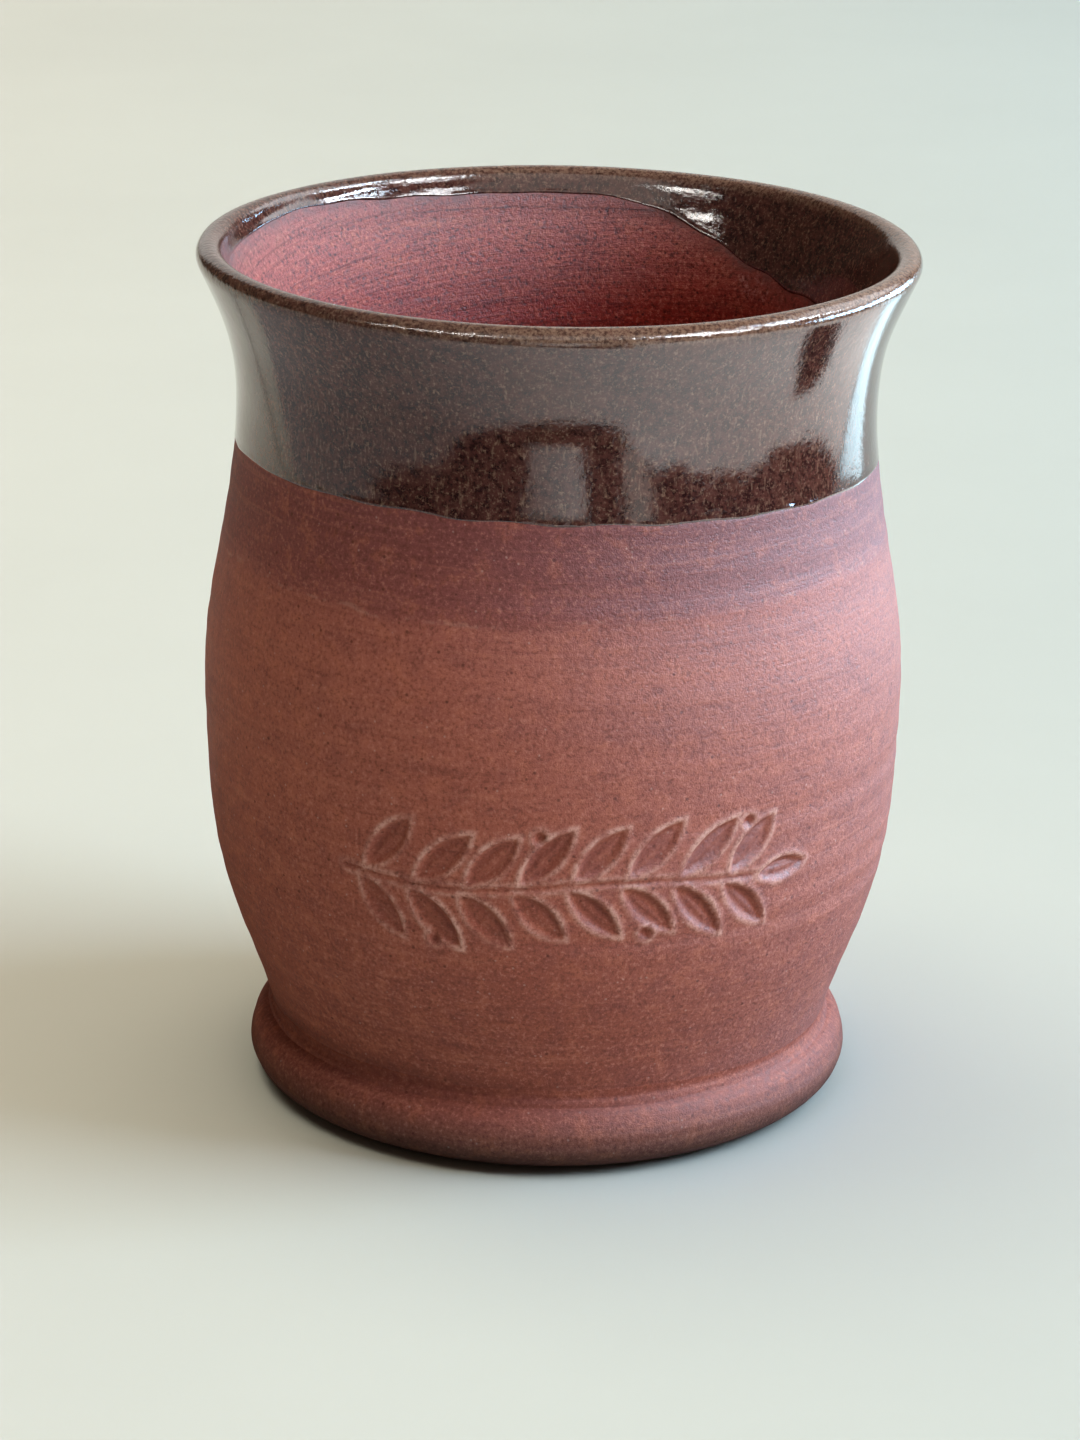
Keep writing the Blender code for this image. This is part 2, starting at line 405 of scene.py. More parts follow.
        # darker and greyer towards the tread: partly greyer clay, partly painted shade under the roll
        clay.cover(1.0, clay.ramp(level, look["underside"]), "MULTIPLY")
        bumps = zip((streaks, grain, grit), look["outsideRelief"])
    clay.feed(clay.shader.inputs["Base Color"], clay.base)
    clay.feed(clay.shader.inputs["Roughness"], clay.span(grain, 0.3, 0.7, *look["roughness"]))
    clay.shader.inputs["Specular IOR Level"].default_value = gloss
    clay.relief(*bumps)
    return clay.material


# dark brown gloss glaze: mottled, speckled, breaking to tan where it thins over the lip

glazeLook = dict(
    deep=(0.031, 0.009, 0.009),
    brown=(0.084, 0.030, 0.025),
    rust=(0.120, 0.046, 0.026),
    tan=(0.30, 0.190, 0.135),
    black=(0.010, 0.004, 0.004),
    worn=(0.27, 0.172, 0.122),
    # painted shade: the worn tan fades on the left of the lip
    wornShadeSide=(-34 * mm, 4 * mm, 0.20, 0.92),
    roughness=(0.03, 0.08),
    waviness=0.050 * mm,
    peel=0.024 * mm,
    grain=0.008 * mm,
    peelOnLip=3.6,
)


def glazeFinish(name):
    look = glazeLook
    glaze = Finish(name)
    cloud = glaze.noise(scale=90, detail=4, rough=0.6)
    mottle = glaze.noise(scale=900, detail=4, rough=0.65)
    speck = glaze.noise(scale=2400, detail=4, rough=0.75)
    crest = glaze.reading("crest")
    glaze.base = glaze.mix(glaze.span(mottle, 0.38, 0.60), look["deep"], look["brown"])
    glaze.cover(glaze.span(cloud, 0.45, 0.75, 0.0, 0.25), look["rust"])
    glaze.cover(glaze.span(speck, 0.53, 0.68, 0.0, 0.60), look["tan"])
    glaze.cover(glaze.span(speck, 0.34, 0.46, 0.65, 0.0), look["black"])
    thin = glaze.times(crest, glaze.span(speck, 0.40, 0.60, 0.15, 1.0))
    # the tan where the glaze wears thin on the crest, faded on the left as painted shade on the side away
    # from the light
    worn = glaze.times(thin, glaze.span(glaze.along("X"), *look["wornShadeSide"]))
    glaze.cover(worn, look["worn"])
    fall = glaze.noise(scale=1.0, detail=3, rough=0.6, where=glaze.stretched((2400, 2400, 650)))
    glaze.cover(glaze.span(fall, 0.57, 0.70, 0.0, 0.40), look["tan"])
    glaze.cover(glaze.flecks(scale=2100, share=0.08, size=0.30, strength=0.3), look["tan"])
    glaze.feed(glaze.shader.inputs["Base Color"], glaze.base)
    glaze.feed(glaze.shader.inputs["Roughness"], glaze.span(speck, 0.35, 0.68, *look["roughness"]))
    glaze.shader.inputs["IOR"].default_value = 1.55
    glaze.shader.inputs["Coat Weight"].default_value = 0.2
    glaze.shader.inputs["Coat Roughness"].default_value = 0.05
    waves = glaze.noise(scale=260, detail=3, rough=0.5)
    onLip = glaze.span(crest, 0.0, 1.0, 1.0, look["peelOnLip"])
    peel = glaze.times(glaze.noise(scale=1400, detail=3, rough=0.6), onLip)
    glaze.relief((waves, look["waviness"]), (peel, look["peel"]), (speck, look["grain"]))
    return glaze.material


# outline of the cup as the photograph shows it: heights and outer radii in mm, glaze included

cupLine = dict(
    stations=(
        (8.4, 33.68), (15.0, 35.76), (21.0, 38.0), (28.0, 40.08), (36.0, 41.31),
        (44.0, 41.73), (51.0, 41.91), (59.0, 41.35), (67.0, 39.98), (75.0, 38.66),
        (84.5, 37.88), (92.0, 38.63), (97.5, 40.55), (101.47, 42.36),
    ),
    wallAtFoot=5.0 * mm,
    wallAtLip=3.0 * mm,
    drawnHeight=103.6 * mm,
    drawnReach=42.5 * mm,
)
stretchUp = cupTop / cupLine["drawnHeight"]
stretchOut = lipReach / cupLine["drawnReach"]
drawnHeights, drawnRadii = np.array(cupLine["stations"]).T * mm
lineHeights = drawnHeights * stretchUp
lineRadii = drawnRadii * stretchOut
lineLow, lineHigh = lineHeights[0], lineHeights[-1]


def wallFrame(height):
    # radius, and the outward normal as (across, up), of the cup's line at each height
    radius, slope = smoothLine(lineHeights, lineRadii, height)
    size = np.sqrt(1 + slope**2)
    return radius, 1 / size, -slope / size


def offLine(height, push, angle):
    # points at a distance from the cup's line, outwards along its normal
    radius, across, up = wallFrame(height)
    return turned(radius + across * push, height + up * push, angle)


def wallThickness(height):
    # an even taper from the foot to the lip
    share = np.clip((height - lineLow) / (lineHigh - lineLow), 0, 1)
    return cupLine["wallAtFoot"] + (cupLine["wallAtLip"] - cupLine["wallAtFoot"]) * share


# the glaze hangs lower on the right outside, and runs down the wall inside on the right

glazeEdge = dict(
    outerHeight=78.9 * mm,
    outerTilt=(-0.75 * mm, -1.05 * mm),
    outerWave=0.14 * mm,
    innerHeight=99.1 * mm,
    innerWave=0.16 * mm,
    innerRise=0.9 * mm,
    riseAngle=math.radians(143),
    riseWidth=math.radians(20),
    runDepth=7.7 * mm,
    runAngle=math.radians(12),
    runFlat=math.radians(20),
    runHalfWidth=math.radians(74),
)


def outerEdge(angle):
    # a line that is lower on the right and at the back, with a fine wave
    glaze = glazeEdge
    across, away = glaze["outerTilt"]
    wave = ripple(angle, 0.0, seed=11, waves=9, turnsMost=23) * glaze["outerWave"]
    return (glaze["outerHeight"] + across * np.cos(angle) + away * np.sin(angle)) * stretchUp + wave


def apart(angle, other):
    # how far apart two angles are, the short way round
    return np.abs((angle - other + math.pi) % (2 * math.pi) - math.pi)


def innerEdge(angle):
    # level round the back and left, a shallow rise at the back left, one broad bay on the right
    glaze = glazeEdge
    bay = 1 - ease(glaze["runFlat"], glaze["runHalfWidth"], apart(angle, glaze["runAngle"]))
    rise = glaze["innerRise"] * np.exp(-((apart(angle, glaze["riseAngle"]) / glaze["riseWidth"]) ** 2))
    wave = ripple(angle, 0.0, seed=29, waves=11, turnsMost=31) * glaze["innerWave"] * (0.5 + bay)
    return glaze["innerHeight"] * stretchUp + rise - glaze["runDepth"] * bay + wave


# leaf spray pressed into the front of the belly

spray = dict(
    height=38.2 * mm,
    halfSpan=25.5 * mm,
    pairs=8,
    leafLength=8.8 * mm,
    leafWidth=3.2 * mm,
    slant=math.radians(46),
    stemGap=0.9 * mm,
    stemWidth=0.75 * mm,
    stemWave=0.7 * mm,
    stemBends=2.3,
    stemPhase=0.4,
    stemDepth=0.55,
    firstPair=2 * mm,
    lastPair=4.5 * mm,
    pairShift=0.4 * mm,
    tipLeaf=4.2 * mm,
    turnSpread=(-0.08, 0.08),
    lengthSpread=(0.92, 1.05),
    widthSpread=(0.92, 1.06),
    depthSpread=(0.75, 1.0),
    berry=0.85 * mm,
    berryPlace=(3.3 * mm, 6.5 * mm),
    berryDepth=0.8,
    depth=0.62 * mm,
    edge=0.55 * mm,
    hollowLean=0.30,
    vein=0.45,
    veinWidth=0.30 * mm,
    veinReach=0.8,
    burr=0.13 * mm,
    burrAt=0.28 * mm,
    burrWidth=0.30 * mm,
    burrFrom=-0.1 * mm,
)


def pressedSpray(across, up):
    # depth and raised rim of the stamps, from the signed distance to each leaf, berry and the stem
    rng = np.random.default_rng(5)
    halfSpan = spray["halfSpan"]
    hollow = np.zeros(across.shape)
    rim = np.zeros(across.shape)

    def stamp(distance, depth):
        nonlocal hollow, rim
        sunk = ease(0, spray["edge"], -distance) * depth
        hollow = np.maximum(hollow, sunk)
        raised = np.exp(-(((distance - spray["burrAt"]) / spray["burrWidth"]) ** 2))
        rim = np.maximum(rim, raised * (distance > spray["burrFrom"]) * depth)

    def stem(x):
        swing = spray["stemBends"] * math.pi * x / (2 * halfSpan) + spray["stemPhase"]
        return spray["stemWave"] * np.sin(swing)

    def leaf(x, y, turn, length, width, depth):
        # two arcs meeting in points: inside both circles is inside the leaf
        halfLong, halfWide = length / 2, width / 2
        arc = (halfLong * halfLong + halfWide * halfWide) / (2 * halfWide)
        along = (across - x) * math.cos(turn) + (up - y) * math.sin(turn)
        beside = -(across - x) * math.sin(turn) + (up - y) * math.cos(turn)
        distance = np.hypot(along, np.abs(beside) + arc - halfWide) - arc
        lean = 1 + spray["hollowLean"] * np.clip(beside / halfWide, -1, 1)
        vein = spray["vein"] * np.exp(-((beside / spray["veinWidth"]) ** 2))
        vein = vein * (np.abs(along) < spray["veinReach"] * halfLong)
        stamp(distance, depth * lean * (1 - vein))

    reach = np.abs(across) - halfSpan
    stemDistance = np.hypot(np.maximum(reach, 0), up - stem(across)) - spray["stemWidth"] / 2
    stamp(stemDistance, spray["stemDepth"])
    start, end = -halfSpan + spray["firstPair"], halfSpan - spray["lastPair"]
    for number, x in enumerate(np.linspace(start, end, spray["pairs"])):
        for side in (1, -1):
            turn = side * spray["slant"] + rng.uniform(*spray["turnSpread"])
            length = spray["leafLength"] * rng.uniform(*spray["lengthSpread"])
            foot = spray["stemGap"] + length / 2
            leaf(
                x=x + side * spray["pairShift"] + foot * math.cos(turn),
                y=stem(x) + foot * math.sin(turn),
                turn=turn,
                length=length,
                width=spray["leafWidth"] * rng.uniform(*spray["widthSpread"]),
                depth=rng.uniform(*spray["depthSpread"]),
            )
        if number % 2:
            spot = -1 if number % 4 == 1 else 1
            aside, out = spray["berryPlace"]
            off = np.hypot(across - x - aside, up - stem(x) - spot * out)
            stamp(off - spray["berry"], spray["berryDepth"])
    leaf(
        x=halfSpan + spray["tipLeaf"],
        y=stem(halfSpan),
        turn=0.05,
        length=spray["leafLength"] * 0.85,
        width=spray["leafWidth"] * 0.9,
        depth=0.9,
    )
    return hollow, rim * (1 - ease(0.0, 0.5, hollow))


# thrown wall: outside from the crease to the lip, over it, and down the inside

wallGrid = dict(
    frontHalf=math.radians(50),
    frontColumns=226,
    otherColumns=112,
    outsideCounts=(16, 78, 30, 12, 4),
    insideCounts=(4, 12, 46, 60),
    lipRows=6,
    pressedFrom=25.5 * mm,
    pressedTo=51.5 * mm,
    insideSeen=76.0 * mm,
    belowBorder=0.5 * mm,
    aboveBorder=1.5 * mm,
    belowLip=0.1 * mm,
    ringShare=0.45,
    waveShare=0.7,
    ringsFade=(0.02, 0.25),
    ringDepth=0.033 * mm,
    ringPitch=4.6 * mm,
    insideRingDepth=0.030 * mm,
    insideRingPitch=3.2 * mm,
    lean=0.10 * mm,
    underGlaze=0.35 * mm,
    step=(0.1 * mm, 1.3 * mm),
    insideStep=(0.1 * mm, 1.0 * mm),
    stainReach=1.1 * mm,
)


def rowsThrough(stops, counts, columns):
    # heights from stop to stop in even steps: a stop is one height, or a height for each column
    levels = [np.broadcast_to(stop, (1, columns)) for stop in stops]
    steps = [np.linspace(0, 1, n, endpoint=False)[:, None] for n in counts]
    runs = [low + (high - low) * step for low, high, step in zip(levels, levels[1:], steps)]
    return np.concatenate([*runs, levels[-1]])


def frontHeavyAngles():
    # close columns across the front, wider ones round the rest
    wall = wallGrid
    start, end = frontAngle - wall["frontHalf"], frontAngle + wall["frontHalf"]
    front = np.linspace(start, end, wall["frontColumns"], endpoint=False)
    rest = np.linspace(end, start + 2 * math.pi, wall["otherColumns"], endpoint=False)
    return np.concatenate([front, rest])


def outOfRound(angle, height):
    # the slow wobble that a hand leaves: two and three lobes, turning slightly as they rise
    turn = height / cupTop
    return wallGrid["lean"] * (np.cos(2 * angle + 0.7 + turn) + 0.6 * np.cos(3 * angle - 1.1 - turn))


def throwingRings(angle, height, seed, pitch):
    # a groove that climbs by its pitch in each turn, and slow waves over it
    climb = height + pitch * angle / (2 * math.pi)
    rings = np.cos(2 * math.pi * climb / pitch)
    waves = ripple(angle, height, seed, waves=14, turnsMost=2, pitch=pitch)
    return wallGrid["ringShare"] * rings + wallGrid["waveShare"] * waves


def lipCircle(rows):
    # the lip is half a circle between the two faces: its middle, its radius and the turn of each row
    radius, across, up = wallFrame(lineHigh)
    half = cupLine["wallAtLip"] / 2
    middle = (radius - across * half, lineHigh - up * half)
    turns = math.atan2(up, across) + np.linspace(0, math.pi, rows + 2)[1:-1]
    return middle, half, turns[:, None]


def overLip(middle, reach, bow, angle):
    # the lip's half circle, carried around the cup with the wobble of its rim
    wobble = outOfRound(angle, cupTop)
    return turned(middle[0] + reach * np.cos(bow) + wobble, middle[1] + reach * np.sin(bow), angle)


def makeWall():
    # outside: the cup's line, pushed out by wobble, rings and burrs, and in by stamps and under the glaze
    wall = wallGrid
    angle = frontHeavyAngles()[None, :]
    columns = angle.shape[1]
    below, above = wall["belowBorder"], wall["aboveBorder"]
    edge = outerEdge(angle)
    stops = (lineLow, wall["pressedFrom"], wall["pressedTo"], edge - below, edge + above, lineHigh)
    height = rowsThrough(stops, wall["outsideCounts"], columns)
    arc = (angle - frontAngle + math.pi) % (2 * math.pi) - math.pi
    hollow, burr = pressedSpray(arc * lineRadii.max() + 0 * height, height - spray["height"])
    calm = 1 - ease(*wall["ringsFade"], hollow)
    rings = throwingRings(angle, height, 3, wall["ringPitch"]) * wall["ringDepth"]
    push = outOfRound(angle, height) + rings * calm
    push = push - hollow * spray["depth"] + burr * spray["burr"]
    push = push - wall["underGlaze"] * ease(*wall["step"], height - edge)
    outside = offLine(height, push, angle)

    # over the lip, lower than the glaze by its coat
    middle, half, bow = lipCircle(wall["lipRows"])
    lip = overLip(middle, half - wall["underGlaze"], bow, angle)

    # inside: the outer line moved in along its normal by the wall and its rings
    edge = innerEdge(angle)
    underLip = np.minimum(edge + above, lineHigh - wall["belowLip"])
    stops = (lineHigh, underLip, edge - below, wall["insideSeen"], lineLow)
    deep = rowsThrough(stops, wall["insideCounts"], columns)
    rings = throwingRings(angle, deep, 17, wall["insideRingPitch"]) * wall["insideRingDepth"]
    inset = wallThickness(deep) + rings - outOfRound(angle, deep)
    inset = inset - wall["underGlaze"] * ease(*wall["insideStep"], deep - edge)
    inside = offLine(deep, -inset, angle)

    # readings for the clay: darker where it is pressed, paler on the burr, stained beside the glaze
    mesh = gridMesh("clayWall", np.concatenate([outside, lip, inside]))
    blank = np.zeros((len(lip) + len(inside), columns))
    mark(mesh, "pressed", np.concatenate([hollow, blank]))
    mark(mesh, "burr", np.concatenate([burr, blank]))
    stain = np.exp(-np.maximum(edge - deep, 0) / wall["stainReach"])
    mark(mesh, "stain", np.concatenate([np.zeros((len(outside) + len(lip), columns)), stain]))
    mesh.materials.append(clayFinish("bare clay outside"))
    faceRow = np.repeat(np.arange(len(mesh.polygons) // columns), columns)
    isInside = faceRow >= len(outside) + len(lip) - 1
    mesh.polygons.foreach_set("material_index", isInside.astype(np.int32))
    return mesh


wallMesh = makeWall()
insideClay = clayFinish("bare clay inside", inside=True, gloss=0.09)
place("clayWall", wallMesh, insideClay, "thrown_wall")


# glaze coat: a skin that starts under the clay's surface at both edges, with a rounded bead along them

coatShape = dict(
    outsideRows=58,
    lipRows=18,
    insideRows=34,
    crowding=1.6,
    skin=0.03 * mm,
    swell=0.03 * mm,
    swellFrom=2 * mm,
    insideSwell=0.015 * mm,
    insideSwellFrom=1 * mm,
    bead=0.045 * mm,
    sunk=0.28 * mm,
    back=0.60 * mm,
    rise=(-0.02 * mm, 0.42 * mm),
    beadAt=0.48 * mm,
    beadWidth=0.28 * mm,
    lumpMiddle=0.6,
    lumpSwing=0.5,
    lumpMost=2,
    roll=0.045 * mm,
    rollAngle=math.radians(69),
    rollSpread=math.radians(8),
    rollBelow=0.55 * mm,
    rollWidth=0.45 * mm,
    crest=(-0.2 * mm, 1.3 * mm),
)


def coatLift(fromEdge, angle):
    # the coat's height over the cup's line: sunk at the edge, a lumpy bead past it, then an even skin
    coat = coatShape
    rise = ease(*coat["rise"], fromEdge)
    lumps = coat["lumpMiddle"] + coat["lumpSwing"] * ripple(angle, 0.0, seed=47, waves=24, turnsMost=130)
    lumps = np.clip(lumps, 0, coat["lumpMost"])
    bead = coat["bead"] * lumps * np.exp(-(((fromEdge - coat["beadAt"]) / coat["beadWidth"]) ** 2))
    return -coat["sunk"] * (1 - rise) + coat["skin"] * rise + bead


def makeCoat():
    coat = coatShape
    angle = frontHeavyAngles()[None, :]

    # outside: the cup's line plus the coat's height, in rows that crowd together towards the border
    share = np.linspace(0, 1, coat["outsideRows"])[:, None] ** coat["crowding"]
    edge = outerEdge(angle)
    height = edge + (lineHigh - edge) * share
    swell = coat["swell"] * ripple(angle, height, seed=41, waves=12, turnsMost=7, pitch=14 * mm)
    wobble = outOfRound(angle, height)
    lift = coatLift(height - edge, angle) + swell * ease(0, coat["swellFrom"], height - edge) + wobble
    outside = offLine(height, lift, angle)
    outsideBack = offLine(height, wobble - coat["back"], angle)

    # over the lip: its half circle plus the skin and a slight swell
    middle, half, bow = lipCircle(coat["lipRows"])
    swell = coat["swell"] * ripple(angle, bow * mm, seed=43, waves=8, turnsMost=9, pitch=3 * mm)
    lip = overLip(middle, half + coat["skin"] + swell, bow, angle)
    lipBack = overLip(middle, half - coat["back"], bow, angle)

    # inside: the same towards its border, with a thicker roll under the lip at the back right
    share = 1 - (1 - np.linspace(0, 1, coat["insideRows"])[:, None]) ** coat["crowding"]
    edge = innerEdge(angle)
    deep = lineHigh + (edge - lineHigh) * share
    wall = wallThickness(deep) - outOfRound(angle, deep)
    swell = coat["insideSwell"] * ripple(angle, deep, seed=53, waves=12, turnsMost=8, pitch=2.4 * mm)
    around = np.exp(-((apart(angle, coat["rollAngle"]) / coat["rollSpread"]) ** 4))
    fromRoll = (lineHigh - deep - coat["rollBelow"]) / coat["rollWidth"]
    roll = coat["roll"] * around * np.exp(-(fromRoll**2))
    swell = swell * ease(0, coat["insideSwellFrom"], deep - edge)
    inset = wall + coatLift(deep - edge, angle) + swell + roll
    inside = offLine(deep, -inset, angle)
    insideBack = offLine(deep, coat["back"] - wall, angle)

    front = np.concatenate([outside, lip, inside])
    back = np.concatenate([outsideBack, lipBack, insideBack])
    mesh = gridMesh("glazeCoat", np.concatenate([front, back[::-1]]))

    # the glaze thins on the crest of the lip, and more so on its outer half
    fromMiddle = np.hypot(front[..., 0], front[..., 1]) - middle[0]
    crest = ease(*coat["crest"], front[..., 2] - middle[1] + 0.5 * np.maximum(fromMiddle, 0))
    mark(mesh, "crest", np.concatenate([crest, crest[::-1]]))
    return mesh


place("glazeCoat", makeCoat(), glazeFinish("dark brown glaze"), "glaze_coat")


# foot ring: flat tread, rounded roll, and a plain bore under the floor

footShape = dict(
    columns=288,
    rollRows=26,
    treadRows=6,
    cornerRows=7,
    bulgeHeight=3.9 * mm,
    treadOuter=31.2 * mm,
    boreRadius=24.05 * mm,
    boreRound=1.0 * mm,
    seatRadius=30.0 * mm,
    wobble=0.10 * mm,
    wobbleFrom=(0.2 * mm, 3.0 * mm),
    wobbleUp=0.3,
    fineShare=0.35,
    finePitch=2.2 * mm,
    tuck=0.5 * mm,
    creaseIn=0.2 * mm,
    ledgeLift=0.2 * mm,
)
rollReach = footBox[1].x
rollTop = footBox[1].z + footShape["tuck"]
rollCrease = lineRadii[0] - footShape["creaseIn"]


def makeFoot():
    # a section from the bore over the tread and the roll to the seat of the floor, carried around
    foot = footShape
    bulge = foot["bulgeHeight"]
    quarter = np.linspace(0, math.pi / 2, foot["rollRows"])
    below = (
        foot["treadOuter"] + (rollReach - foot["treadOuter"]) * np.sin(quarter),
        bulge * (1 - np.cos(quarter)),
    )
    above = (
        rollCrease + (rollReach - rollCrease) * np.cos(quarter[1:]),
        bulge + (rollTop - bulge) * np.sin(quarter[1:]),
    )
    corner = np.linspace(math.pi, 1.5 * math.pi, foot["cornerRows"])
    bore = (
        foot["boreRadius"] + foot["boreRound"] * (1 + np.cos(corner)),
        foot["boreRound"] * (1 + np.sin(corner)),
    )
    treadInner = foot["boreRadius"] + foot["boreRound"]
    tread = np.linspace(treadInner, foot["treadOuter"], foot["treadRows"] + 2)[1:-1]
    ledge = floorBox[0].z + foot["ledgeLift"]
    seat = (
        [foot["seatRadius"], foot["seatRadius"], foot["boreRadius"]],
        [rollTop, ledge, ledge],
    )
    radius = np.concatenate([bore[0], tread, below[0], above[0], seat[0]])[:, None]
    height = np.concatenate([bore[1], 0 * tread, below[1], above[1], seat[1]])[:, None]
    angle = evenAngles(foot["columns"])

    # the roll is uneven, the tread is flat
    rolled = ease(*foot["wobbleFrom"], height) * (radius > rollCrease)
    fine = ripple(angle, height, seed=63, waves=9, turnsMost=3, pitch=foot["finePitch"])
    lumps = ripple(angle, 0.0, seed=61, waves=5, turnsMost=5) + foot["fineShare"] * fine
    push = foot["wobble"] * lumps * rolled
    return gridMesh("footRing", turned(radius + push, height + foot["wobbleUp"] * push, angle))


place("footRing", makeFoot(), clayFinish("bare clay foot", gloss=0.045), "foot_ring")


# slip: a fillet pressed into the crease, smooth on the right, with a ridge left standing on the left

beadShape = dict(
    columns=288,
    rows=26,
    onWall=1.9 * mm,
    onFoot=1.75 * mm,
    unevenness=0.10,
    sunk=0.12 * mm,
    lead=0.10 * mm,
    ridge=0.15 * mm,
    ridgeLean=0.7,
    fullest=math.radians(-140),
    back=1.2 * mm,
    backDrop=0.6 * mm,
    footEdge=(0.1 * mm, -0.3 * mm),
    wallEdge=(-0.25 * mm, 0.3 * mm),
)


def footTop(radius):
    # height of the roll's upper half at each radius: a quarter of an ellipse
    bulge = footShape["bulgeHeight"]
    share = np.clip((radius - rollCrease) / (rollReach - rollCrease), 0, 1)
    return bulge + (rollTop - bulge) * np.sqrt(1 - share**2)


def makeBead():
    # a curve across the crease with a ridge on it, fullest on the left, carried around the cup
    slip = beadShape
    angle = evenAngles(slip["columns"])
    left = 0.5 + 0.5 * np.cos(angle - slip["fullest"])
    share = np.linspace(0, 1, slip["rows"])[:, None]
    wobble = 1 + slip["unevenness"] * ripple(angle, 0.0, seed=71, waves=8, turnsMost=13)
    low = lineRadii[0] + slip["onFoot"] * wobble
    high = lineLow + slip["onWall"] * wobble
    onFoot = (low, footTop(low) - slip["sunk"])
    onWall = (wallFrame(high)[0], high)
    corner = (lineRadii[0] + slip["lead"], lineLow + slip["lead"])

    def fillet(start, middle, end):
        # a curve from the foot to the wall, drawn towards the corner of the crease between them
        return (1 - share) ** 2 * start + 2 * share * (1 - share) * middle + share**2 * end

    stand = slip["ridge"] * left**2 * np.cos(4 * math.pi * (share - 0.5)) * np.sin(math.pi * share)
    radius, height = (fillet(*ends) + slip["ridgeLean"] * stand for ends in zip(onFoot, corner, onWall))

    # the strip's edges dip under the two faces, and its back is inside the clay
    footOut, footUp = slip["footEdge"]
    wallOut, wallUp = slip["wallEdge"]
    back, drop = slip["back"], slip["backDrop"]
    radius = np.concatenate([low - back, low + footOut, radius, onWall[0] + wallOut, onWall[0] - back])
    height = np.concatenate([onFoot[1] - drop, onFoot[1] + footUp, height, high + wallUp, high])
    return gridMesh("slipBead", turned(radius, height, angle))


place("slipBead", makeBead(), clayFinish("bare clay slip", gloss=0.045), "luting_slip")


# floor: a dish that sweeps up into the wall, with the spiral that the fingers leave

floorShape = dict(
    columns=192,
    topRows=64,
    coveRise=6.0 * mm,
    coveWidth=9.0 * mm,
    intoWall=0.4 * mm,
    spiralDepth=0.22 * mm,
    pitch=4.4 * mm,
    calmMiddle=3 * mm,
    calmWall=(5 * mm, 1 * mm),
    merge=0.0001 * mm,
    underRows=(0.0, 0.33, 0.66, 1.0),
)


def makeFloor():
    dish = floorShape
    angle = evenAngles(dish["columns"])
    top, bottom = floorBox[1].z, floorBox[0].z
    coveTop = top + dish["coveRise"]
    rim, across, _ = wallFrame(coveTop)
    rim = rim - across * wallThickness(coveTop) + dish["intoWall"]
    radius = np.linspace(rim, 0, dish["topRows"])[:, None]

    # upper side: the cove is a quarter of an ellipse, and the spiral fades at the middle and by the wall
    near = 1 - np.clip((rim - radius) / dish["coveWidth"], 0, 1)
    rise = dish["coveRise"] * (1 - np.sqrt(1 - near**2))
    spiral = np.cos(2 * math.pi * radius / dish["pitch"] - angle)
    far, close = dish["calmWall"]
    calm = ease(0, dish["calmMiddle"], radius) * (1 - ease(rim - far, rim - close, radius))
    upper = turned(radius, top + rise + dish["spiralDepth"] * spiral * calm, angle)

    # lower side: flat, and both close in the middle, where the doubles are merged
    under = np.array(dish["underRows"])[:, None] * floorBox[1].x
    lower = turned(under + 0 * angle, bottom, angle)
    mesh = gridMesh("floorDish", np.concatenate([lower, upper]), closeRows=False)
    bm = bmesh.new()
    bm.from_mesh(mesh)
    bmesh.ops.remove_doubles(bm, verts=bm.verts, dist=dish["merge"])
    bm.to_mesh(mesh)
    bm.free()
    mesh.shade_smooth()

    # faces that look down take the outside clay
    mesh.materials.append(clayFinish("bare clay underside"))
    facing = np.empty(len(mesh.polygons) * 3, dtype=np.float32)
    mesh.polygons.foreach_get("normal", facing)
    mesh.polygons.foreach_set("material_index", (facing[2::3] > -0.5).astype(np.int32))
    return mesh


floorMesh = makeFloor()
# the floor takes the inside clay, and with it the full painted shade of the deep
floorClay = clayFinish("bare clay floor", inside=True, gloss=0.10)
place("floorDish", floorMesh, floorClay, "floor_disc")


# stage: pale floor, daylight from the right, and sheets on the floor that only gloss mirrors: glowing and
# dark cards as painted reflections

stage = dict(
    floorHalf=1.5,
    # painted light on the floor: warm on the left, where the cup's shadow falls, and cool on the right
    floorLeftWarmShade=(0.655, 0.63, 0.575),
    floorRightCoolDaylight=(0.50, 0.575, 0.60),
    worldColour=(1.0, 0.72, 0.52),
    worldStrength=0.07,
    backdrop=(0.72, 0.73, 0.68),
)

